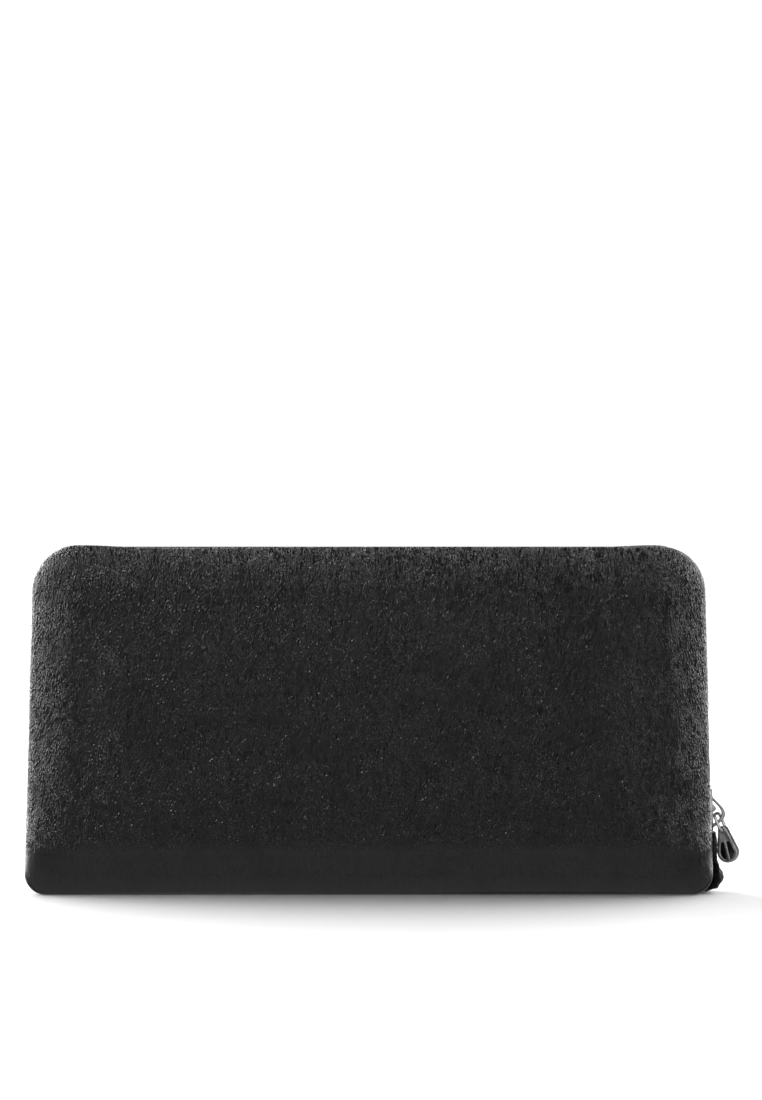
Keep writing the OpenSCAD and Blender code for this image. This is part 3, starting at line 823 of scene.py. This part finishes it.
def chain_places(offset):
    _, stations = around(TAPE_INSET, CHAIN_START, CHAIN_END, pitch=TOOTH_PITCH / 2)
    places = []
    for x, z, a in stations[offset::2]:
        out = np.array([math.cos(a), 0, math.sin(a)])
        along = np.array([-math.sin(a), 0, math.cos(a)])
        places.append(frame_matrix((x, 0, z), out, (0, 1, 0), along))
    return places


def zip_teeth(which):
    tooth = tooth_template(TOOTH_ROOT, TOOTH_REACH, TOOTH_HEIGHT, TOOTH_HALF)
    points, faces = repeated(tooth, chain_places(which == "back"))
    piece = half_piece(which, which + "_teeth", points, faces, TEETH, None, 35)
    belongs(piece, which + "_cover", which + "_zip_teeth")


def zip_tail():
    """Both tapes folded together: flat under the slider, crumpled where they turn in under the corner."""
    line = np.array([
        (98.9, 17.4), (99.0, 15.2), (98.95, 12.8), (99.0, 10.8), (99.6, 8.9), (100.4, 7.2), (100.8, 5.4),
        (100.8, 3.8), (99.9, 2.3), (98.3, 1.4), (96.4, 0.95), (94.6, 0.6),
    ])
    thick = np.array([2.6, 3.1, 2.9, 2.5, 2.2, 2.3, 2.6, 2.7, 2.1, 1.6, 1.1, 0.5])
    smooth = resample(np.c_[line, thick], 90)
    for _ in range(12):
        smooth[1:-1] = (smooth[:-2] + 2 * smooth[1:-1] + smooth[2:]) / 4
    tangent = np.gradient(smooth[:, :2], axis=0)
    tangent /= np.linalg.norm(tangent, axis=1, keepdims=True)
    normal = np.c_[-tangent[:, 1], tangent[:, 0]]
    columns = 34
    u = np.linspace(0, 2 * math.pi, columns, endpoint=False)
    half_w = 4.5
    across = half_w * np.sign(np.cos(u)) * np.abs(np.cos(u)) ** 0.35
    up = np.sign(np.sin(u)) * np.abs(np.sin(u)) ** 0.6
    points = []
    flat = []
    lengths = np.r_[0, np.cumsum(np.linalg.norm(np.diff(smooth[:, :2], axis=0), axis=1))]
    for k, (x, z, t) in enumerate(smooth):
        for a, b in zip(across, up):
            pucker = 0.22 * math.sin(a * 2.4 + k * 0.16) * min(1, k / 25)
            off = normal[k] * (b * t / 2 + pucker * t / 2)
            points.append((x + off[0], a * (1 - 0.06 * math.sin(k * 0.11)), z + off[1]))
            flat.append((lengths[k], a + b * 0.8, 0))
    points = np.array(points)
    crumple = noise(points, (3.2, 2.6, 2.4), 71) * 0.45 + noise(points, (1.4, 1.8, 1.3), 72) * 0.2
    amount = ease((12 - points[:, 2]) / 4) * ease((points[:, 0] - 94) / 3)
    centre = np.repeat(smooth[:, :2], columns, 0)
    radial = np.c_[points[:, 0] - centre[:, 0], np.zeros(len(points)), points[:, 2] - centre[:, 1]]
    points += radial / np.maximum(np.linalg.norm(radial, axis=1, keepdims=True), 0.3) * (crumple * amount)[:, None]
    points[:, 2] = np.maximum(points[:, 2], 0.12 + 0.05 * noise(points, 1.0, 73))
    faces = tube_faces(len(smooth), columns)
    piece = keep_rest(make_piece("folded_zip_tail", points, faces, TAPE, flat, 70))
    belongs(piece, "spine", "zip_tail")


# ------------------------------------------------------------------ stitches

def stitch_template(length=2.3, r=0.2):
    """One stitch: a short thread that dips in at both ends."""
    rings = np.linspace(-1, 1, 6)
    points = []
    for t in rings:
        size = r * math.sqrt(max(1 - t**8, 0.12))
        dip = -0.28 * t**4
        for a in np.linspace(0, 2 * math.pi, 6, endpoint=False):
            points.append((size * math.cos(a) + dip, size * math.sin(a), t * length / 2))
    return np.array(points), tube_faces(len(rings), 6)


def stitch_row(points, up, pitch=3.1):
    """Places for stitches along a line of points, with up the way out of the cloth."""
    length = np.linalg.norm(np.diff(points, axis=0), axis=1).sum()
    line = resample(points, max(int(length / pitch), 1))
    places = []
    for a, b in zip(line[:-1], line[1:]):
        along = (b - a) / np.linalg.norm(b - a)
        out = np.asarray(up, float)
        out = out - along * (out @ along)
        out /= np.linalg.norm(out)
        places.append(frame_matrix((a + b) / 2, out, np.cross(along, out), along))
    return places


def stitches(name, rows, body, which="front"):
    points, faces = repeated(stitch_template(), [m for row in rows for m in row])
    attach(half_piece(which, name, points, faces, THREAD, None, 60), body)


# ------------------------------------------------------------------ inside the covers

POCKET_HALF_W = node_box("front_card_pocket_1")[1][0]
POCKET_BOTTOM = node_box("front_card_pocket_1")[0][2]
SAG, BULGE = 0.35, 0.16  # how far a pocket's edge hangs and stands out in the middle of each card's place
SEAM_IN = 1.6  # the pockets' seams lie this far inside their edges


def between_seams(x):
    """0 at the pockets' three upright seams, 1 halfway between them."""
    return np.abs(np.sin(x / POCKET_HALF_W * math.pi)) ** 0.7


def plane_normals(grid):
    """The way out, +Y, for each point of a grid."""
    normals = np.zeros_like(grid)
    normals[..., 1] = 1
    return normals


def lining(which):
    spans = outline(1.7, 1.7, 3, CORNER_TOP - 1.7, CORNER_SPINE - 1.7, 150, 76)
    face = patch(spans)
    x, z = face[..., 0], face[..., 1]
    y = np.full_like(x, -INNER_Y - 0.3)
    grid = np.stack([x, y, z], -1)
    puff = noise(grid.reshape(-1, 3), (24, 10, 24), 81).reshape(x.shape) * 0.12
    inside = ease((edge_distance(x, z) - 2) / 6)
    grid[..., 1] += puff * inside
    points, faces = thick_sheet(grid, plane_normals(grid), 0.5)
    piece = half_piece(which, which + "_lining_cloth", points, faces, LINING, both_faces(x, z))
    belongs(piece, which + "_cover", which + "_lining")


def card_pocket(which, tier):
    """One tier: a thin leather panel with a turned upper edge, sewn at its sides and down its middle."""
    low, high = node_box("front_card_pocket_%d" % tier)
    middle = (low[1] + high[1]) / 2
    top = high[2]
    x = np.linspace(-POCKET_HALF_W, POCKET_HALF_W, 121)
    z = np.r_[np.linspace(POCKET_BOTTOM, top - 1.6, 44), top - 1.5, top - 0.9, top - 0.35, top]
    gx, gz = np.meshgrid(x, z)
    grid = np.stack([gx, np.full_like(gx, middle), gz], -1)
    loose = between_seams(gx)
    near_top = ease((gz - POCKET_BOTTOM) / (top - POCKET_BOTTOM))
    waves = noise(grid.reshape(-1, 3), (15, 5, 9), 90 + tier).reshape(gx.shape)
    grid[..., 1] += BULGE * loose * near_top + 0.04 * waves
    grid[..., 2] -= SAG * loose * ease((gz - top + 8) / 8)
    thickness = np.where(gz > top - 1.55, 0.5, 0.34)
    thickness = np.where(gz >= top - 0.01, 0.24, thickness)[..., None]
    points, faces = thick_sheet(grid, plane_normals(grid) * thickness, 1.0)
    piece = half_piece(
        which, "%s_card_tier_%d" % (which, tier), points, faces, INNER, both_faces(gx, gz), 50
    )
    belongs(piece, which + "_cover", "%s_card_pocket_%d" % (which, tier))


def cover_stitches(which):
    rows = []
    out = (0, 1, 0)
    seam_x, foot = POCKET_HALF_W - SEAM_IN, POCKET_BOTTOM + SEAM_IN
    for tier in range(1, 5):
        high = node_box("front_card_pocket_%d" % tier)[1]
        top, y = high[2], high[1] - 0.02
        x = np.linspace(-POCKET_HALF_W + 2, POCKET_HALF_W - 2, 40)
        loose = between_seams(x)
        rows.append(stitch_row(np.c_[x, y + BULGE * loose, top - 2.4 - SAG * loose], out))
        below = node_box("front_card_pocket_%d" % (tier + 1))[1][2] if tier < 4 else foot
        for x in (-seam_x, 0, seam_x):
            rows.append(stitch_row(np.array([(x, y + 0.02, below), (x, y + 0.02, top - 1.2)]), out))
    y = high[1]
    rows.append(stitch_row(np.array([(-seam_x, y, foot), (seam_x, y, foot)]), out))
    stitches(which + "_pocket_stitches", rows, which + "_cover", which)


def rim_stitches(which):
    """The row that holds the lining and the tape to the cover's turned edge."""
    _, stations = around(3.6, 10, 10, cells=300)
    line = np.c_[stations[:, 0], np.full(len(stations), -INNER_Y - 0.02), stations[:, 1]]
    stitches(which + "_rim_stitches", [stitch_row(line, (0, 1, 0))], which + "_cover", which)


# ------------------------------------------------------------------ dividers, coin pocket, gussets

def panel(name, node, body, wave, seed=101):
    """A thin sewn panel in the space of a CAD plate."""
    low, high = node_box(node)
    x = np.linspace(low[0], high[0], 89)
    z = np.linspace(low[2], high[2], 41)
    gx, gz = np.meshgrid(x, z)
    grid = np.stack([gx, np.full_like(gx, (low[1] + high[1]) / 2), gz], -1)
    grid[..., 1] += noise(grid.reshape(-1, 3), (31, 9, 27), seed).reshape(gx.shape) * wave
    points, faces = thick_sheet(grid, plane_normals(grid), (high[1] - low[1]) * 0.8)
    piece = keep_rest(make_piece(name, points, faces, LINING, both_faces(gx, gz)))
    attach(piece, body)
    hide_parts(node)
    return piece


def binding(which):
    """Leather folded over a divider's upper edge, from one side to the other."""
    low, high = node_box("front_divider_binding")
    y0, half_t = (low[1] + high[1]) / 2, (high[1] - low[1]) / 2
    bottom, top = low[2], high[2]
    profile = [(y0 - half_t * 0.9, bottom), (y0 - half_t * 0.72, bottom + 0.5), (y0 - half_t, top - 1)]
    profile += [(y0 + half_t * math.cos(a), top - 0.5 + 0.5 * math.sin(a)) for a in np.linspace(math.pi, 0, 7)]
    profile += [(y0 + half_t, top - 1), (y0 + half_t * 0.72, bottom + 0.5), (y0 + half_t * 0.9, bottom)]
    xs = np.linspace(low[0], high[0], 90)
    points = np.array([(x, y, z) for x in xs for y, z in profile])
    points[:, 1] += noise(points, (9, 40, 12), 121) * 0.05
    faces = tube_faces(len(xs), len(profile))
    piece = half_piece(which, which + "_divider_edge", points, faces, INNER, None, 50)
    belongs(piece, which + "_divider", which + "_divider_binding")
    rows = []
    for y, way in ((y0 - half_t * 0.85, -1), (y0 + half_t * 0.85, 1)):
        line = np.array([(low[0] + 1.5, y, bottom + 1.4), (high[0] - 1.5, y, bottom + 1.4)])
        rows.append(stitch_row(line, (0, way, 0)))
    stitches(which + "_divider_stitches", rows, which + "_divider", which)


def gusset(which, hand):
    """A strip of lining folded like a fan between a cover's pockets and the coin pocket."""
    low, high = node_box("front_right_gusset")
    y_from, y_to = low[1] - 0.1, node_box("coin_pocket_front_wall")[0][1] - 0.05
    outer, depth = high[0], high[0] - low[0]
    folds = 4
    line = []
    for k in range(folds + 1):
        x = outer if k % 2 == 0 else outer - depth
        line.append((x, y_from + (y_to - y_from) * k / folds))
    line = resample(np.array(line), 64)
    for _ in range(2):
        line[1:-1] = (line[:-2] + 2 * line[1:-1] + line[2:]) / 4
    z = np.linspace(low[2], high[2], 41)
    rows = []
    for height in z:
        # the folds are shallower at the foot, where the pages meet
        share = 0.35 + 0.65 * ease((height - low[2]) / 45)
        x = outer - (outer - line[:, 0]) * share
        rows.append(np.c_[x * hand, line[:, 1], np.full(len(line), height)])
    grid = np.stack(rows)
    across = np.gradient(grid, axis=1)
    normals = np.cross(across, np.broadcast_to([0, 0, 1.0], across.shape))
    normals /= np.linalg.norm(normals, axis=2, keepdims=True)
    points, faces = thick_sheet(grid, normals, 0.22)
    width = np.linalg.norm(np.diff(line, axis=0), axis=1).sum()
    u = np.linspace(0, width, len(line))
    flat = both_faces(*np.meshgrid(u, z))
    side = "right" if hand > 0 else "left"
    piece = half_piece(which, "%s_%s_fan" % (which, side), points, faces, LINING, flat, 80)
    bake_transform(piece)
    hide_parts("%s_%s_gusset" % (which, side))


def coin_teeth(which):
    low, high = node_box("coin_zip_front_teeth")
    pitch = 2.0
    start = low[0] + 0.42 + (pitch / 2 if which == "back" else 0)
    z = (low[2] + high[2]) / 2
    places = [
        frame_matrix((x, 0, z), (0, 0, 1), (0, 1, 0), (1, 0, 0))
        for x in np.arange(start, high[0] - 0.3, pitch)
    ]
    points, faces = repeated(tooth_template(1.5, 0.5, 1.7, 0.42), places)
    piece = half_piece(which, "coin_%s_teeth" % which, points, faces, TEETH, None, 35)
    belongs(piece, "spine", "coin_zip_%s_teeth" % which)


def coin_stitches():
    low, high = node_box("coin_pocket_front_wall")
    rows = []
    y = low[1] - 0.02
    left, right, foot, top = low[0] + 2, high[0] - 2, low[2] + 3, high[2] - 2
    corners = [(left, top), (left, foot), (right, foot), (right, top)]
    for a, b in zip(corners, corners[1:] + corners[:1]):
        for s in (1, -1):
            line = np.array([(a[0], y * s, a[1]), (b[0], y * s, b[1])])
            rows.append(stitch_row(line, (0, -s, 0)))
    stitches("coin_pocket_stitches", rows, "spine")


# ------------------------------------------------------------------ build

def build_half(which):
    cover_shell(which)
    spine_skin(which)
    zip_tape(which)
    zip_teeth(which)
    lining(which)
    for tier in range(1, 5):
        card_pocket(which, tier)
    cover_stitches(which)
    rim_stitches(which)
    divider = panel(which + "_divider_cloth", which + "_divider", which + "_divider", wave=0.1)
    binding(which)
    gusset(which, 1)
    gusset(which, -1)
    wall = panel("coin_%s_wall" % which, "coin_pocket_%s_wall" % which, "spine", wave=0.06, seed=103)
    coin_teeth(which)
    tape = softened("coin_%s_tape" % which, ["coin_zip_%s_tape" % which], TAPE, "spine", 0.12, 2)
    keep_flat(tape)
    stop = softened(which + "_top_stop", [which + "_zip_top_stop"], TEETH, which + "_cover", 0.3)
    foam(which)
    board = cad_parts[which + "_board"].data.materials
    board.clear()
    board.append(BOARD)


def build_spine():
    keep_flat(softened("spine_inner_cloth", ["spine_lining"], LINING, "spine", 0.15, 2))
    keep_flat(softened("coin_pocket_edges", ["coin_pocket_seam"], LINING, "spine", 0.2, 2))
    softened("coin_end_stops", ["coin_zip_stops"], TEETH, "spine", 0.25)
    softened("bottom_stop", ["zip_bottom_stop"], TEETH, "spine", 0.35)
    softened("start_tab", ["zip_start_tab"], OUTER, "spine", 0.35)
    coin_stitches()
    zip_tail()


def build_sliders():
    for slot, *rest in (
        ("metal", "slider_plates", ["slider_body"], SLIDER, "zip_slider", 0.28),
        ("metal", "slider_arch", ["slider_bridge"], SLIDER, "zip_slider", 0.22),
        ("metal", "ring", ["pull_ring"], NICKEL, "zip_pull_ring", 0.02, 1, 60),
        ("metal", "tab_frame", ["pull_tab"], NICKEL, "zip_pull", 0.24),
        ("enamel", "tab_inlays", ["pull_inlays"], INLAY, "zip_pull", 0.12, 2),
        ("metal", "coin_slider_plates", ["coin_slider_body"], NICKEL, "coin_slider", 0.2),
        ("metal", "coin_slider_arch", ["coin_slider_bridge"], NICKEL, "coin_slider", 0.16),
        ("inner_leather", "coin_tongue", ["coin_pull"], INNER, "coin_pull", 0.15, 2),
    ):
        softened(*rest)


# ------------------------------------------------------------------ stage

def stage_surface():
    """A pale round floor, whiter towards its rim. Only the camera sees it: the wallet sees the world below it."""
    r, sides = 1150.0, 96
    points = [(0, 0, 0)] + [
        (r * math.cos(a), r * math.sin(a), 0) for a in np.linspace(0, 2 * math.pi, sides, endpoint=False)
    ]
    faces = [(0, 1 + k, 1 + (k + 1) % sides) for k in range(sides)]
    s = Surface("pale_floor", 0.8, Specular_IOR_Level=0.2)
    place = s.add("ShaderNodeTexCoord", "Object")
    from_centre = s.add("ShaderNodeVectorMath", "Value", {"operation": "LENGTH"}, Vector=place)
    s.colour_between((0.55, 0.55, 0.55), (0.95, 0.95, 0.95), s.remap(from_centre, 0.35, 0.8))
    floor = make_piece("floor", points, faces, s.material)
    floor.visible_glossy = floor.visible_diffuse = floor.visible_shadow = False
    return floor


WORLD_ABOVE, WORLD_BELOW, WORLD_FRONT_AND_BACK, WORLD_WHITE = 0.07, 0.45, 0.06, 1.05


def area_light(name, place, target, size, power):
    data = bpy.data.lights.new(name, "AREA")
    data.shape = "RECTANGLE"
    data.size, data.size_y = size
    data.energy = power
    light = new_object(name, data)
    light.location = place
    light.visible_camera = False
    light.rotation_euler = (Vector(target) - Vector(place)).to_track_quat("-Z", "Y").to_euler()
    return light


def aim(lights, pieces, state="INCLUDE"):
    """Keeps the lights to some pieces, or off them."""
    lit = bpy.data.collections.new("lit_pieces")
    for piece in pieces:
        lit.objects.link(piece)
    for member in lit.collection_objects:
        member.light_linking.link_state = state
    for light in lights:
        light.light_linking.receiver_collection = lit


def studio(floor):
    """White at the left and right horizon, dim before and behind, dark above, grey below.

    Both covers have two soft boxes; the front's light the cloth too, and its key light lights everything. The metal
    and the floor have lights of their own, and the camera sees plain white.
    """
    scene = bpy.context.scene
    world = bpy.data.worlds.new("studio")
    world.use_nodes = True
    nodes, links = world.node_tree.nodes, world.node_tree.links
    background = nodes["Background"]
    direction = nodes.new("ShaderNodeTexCoord")
    parts = nodes.new("ShaderNodeSeparateXYZ")
    links.new(direction.outputs["Generated"], parts.inputs[0])

    def fade(value, start, end, low, high):
        node = nodes.new("ShaderNodeMapRange")
        node.interpolation_type = "SMOOTHSTEP"
        links.new(value, node.inputs["Value"])
        for socket, value in zip(("From Min", "From Max", "To Min", "To Max"), (start, end, low, high)):
            if isinstance(value, bpy.types.NodeSocket):
                links.new(value, node.inputs[socket])
            else:
                node.inputs[socket].default_value = value
        return node.outputs[0]

    off_side = nodes.new("ShaderNodeMath")
    off_side.operation = "ABSOLUTE"
    links.new(parts.outputs["Y"], off_side.inputs[0])
    horizon = fade(off_side.outputs[0], 0.1, 0.85, WORLD_WHITE, WORLD_FRONT_AND_BACK)
    sky = fade(parts.outputs["Z"], 0.18, 0.4, horizon, WORLD_ABOVE)
    around_wallet = fade(parts.outputs["Z"], -0.3, -0.08, WORLD_BELOW, sky)
    seen = nodes.new("ShaderNodeMix")
    links.new(nodes.new("ShaderNodeLightPath").outputs["Is Camera Ray"], seen.inputs[0])
    links.new(around_wallet, seen.inputs[2])
    seen.inputs[3].default_value = WORLD_WHITE
    links.new(seen.outputs[0], background.inputs["Strength"])
    background.inputs["Color"].default_value = (1, 1, 1, 1)
    scene.world = world
    scene.view_settings.view_transform = "Standard"
    metal_looks = ([NICKEL], [SLIDER], [TEETH])
    metals = [o for o in bpy.data.objects if o.type == "MESH" and o.data.materials[:1] in metal_looks]
    back_shell = bpy.data.objects["back_cover_shell"]
    middle = (0, 0, 0.1)
    for which, side in SIDES.items():
        left, right = [
            area_light(which + name, (x * side, 0.75 * side, 0.5), middle, (1.9, 1.2), power)
            for name, x, power in (("_left_softbox", -1.1, 84), ("_right_softbox", 1.1, 62))
        ]
        place, target = (-0.4 * side, -0.3 * side, 0.34), (-0.03 * side, 0, 0.07)
        key = area_light(which + "_key", place, target, (0.07, 0.07), 1.35)
        if which == "front":
            aim((left, right), metals + [back_shell], "EXCLUDE")
        else:
            aim((left, right, key), [back_shell])
    aim([area_light("floor_light", (0.0, 2.2, 2.4), (0, 1.9, 0), (4.4, 3.6), 110)], [floor])
    aim([area_light("metal_front_fill", (0.25, -1.0, 0.3), (0.05, 0, 0.05), (1.2, 0.9), 7.5)], metals)
    aim([area_light("metal_top_fill", (0.0, 0.1, 1.2), middle, (1.5, 1.5), 6.0)], metals)


def camera():
    data = bpy.data.cameras.new("camera")
    eye = new_object("camera", data)
    distance = 1.0
    view_height = 0.3143  # what the frame's height shows at the front cover
    data.sensor_width = 36
    data.lens = data.sensor_width * distance / view_height
    data.clip_end = 20
    data.dof.use_dof = False
    eye.location = (0.0035, -FACE_Y * MM - distance, 0.099)
    eye.rotation_euler = (math.pi / 2, 0, 0)
    bpy.context.scene.camera = eye


for side in SIDES:
    build_half(side)
build_spine()
build_sliders()
studio(stage_surface())
camera()
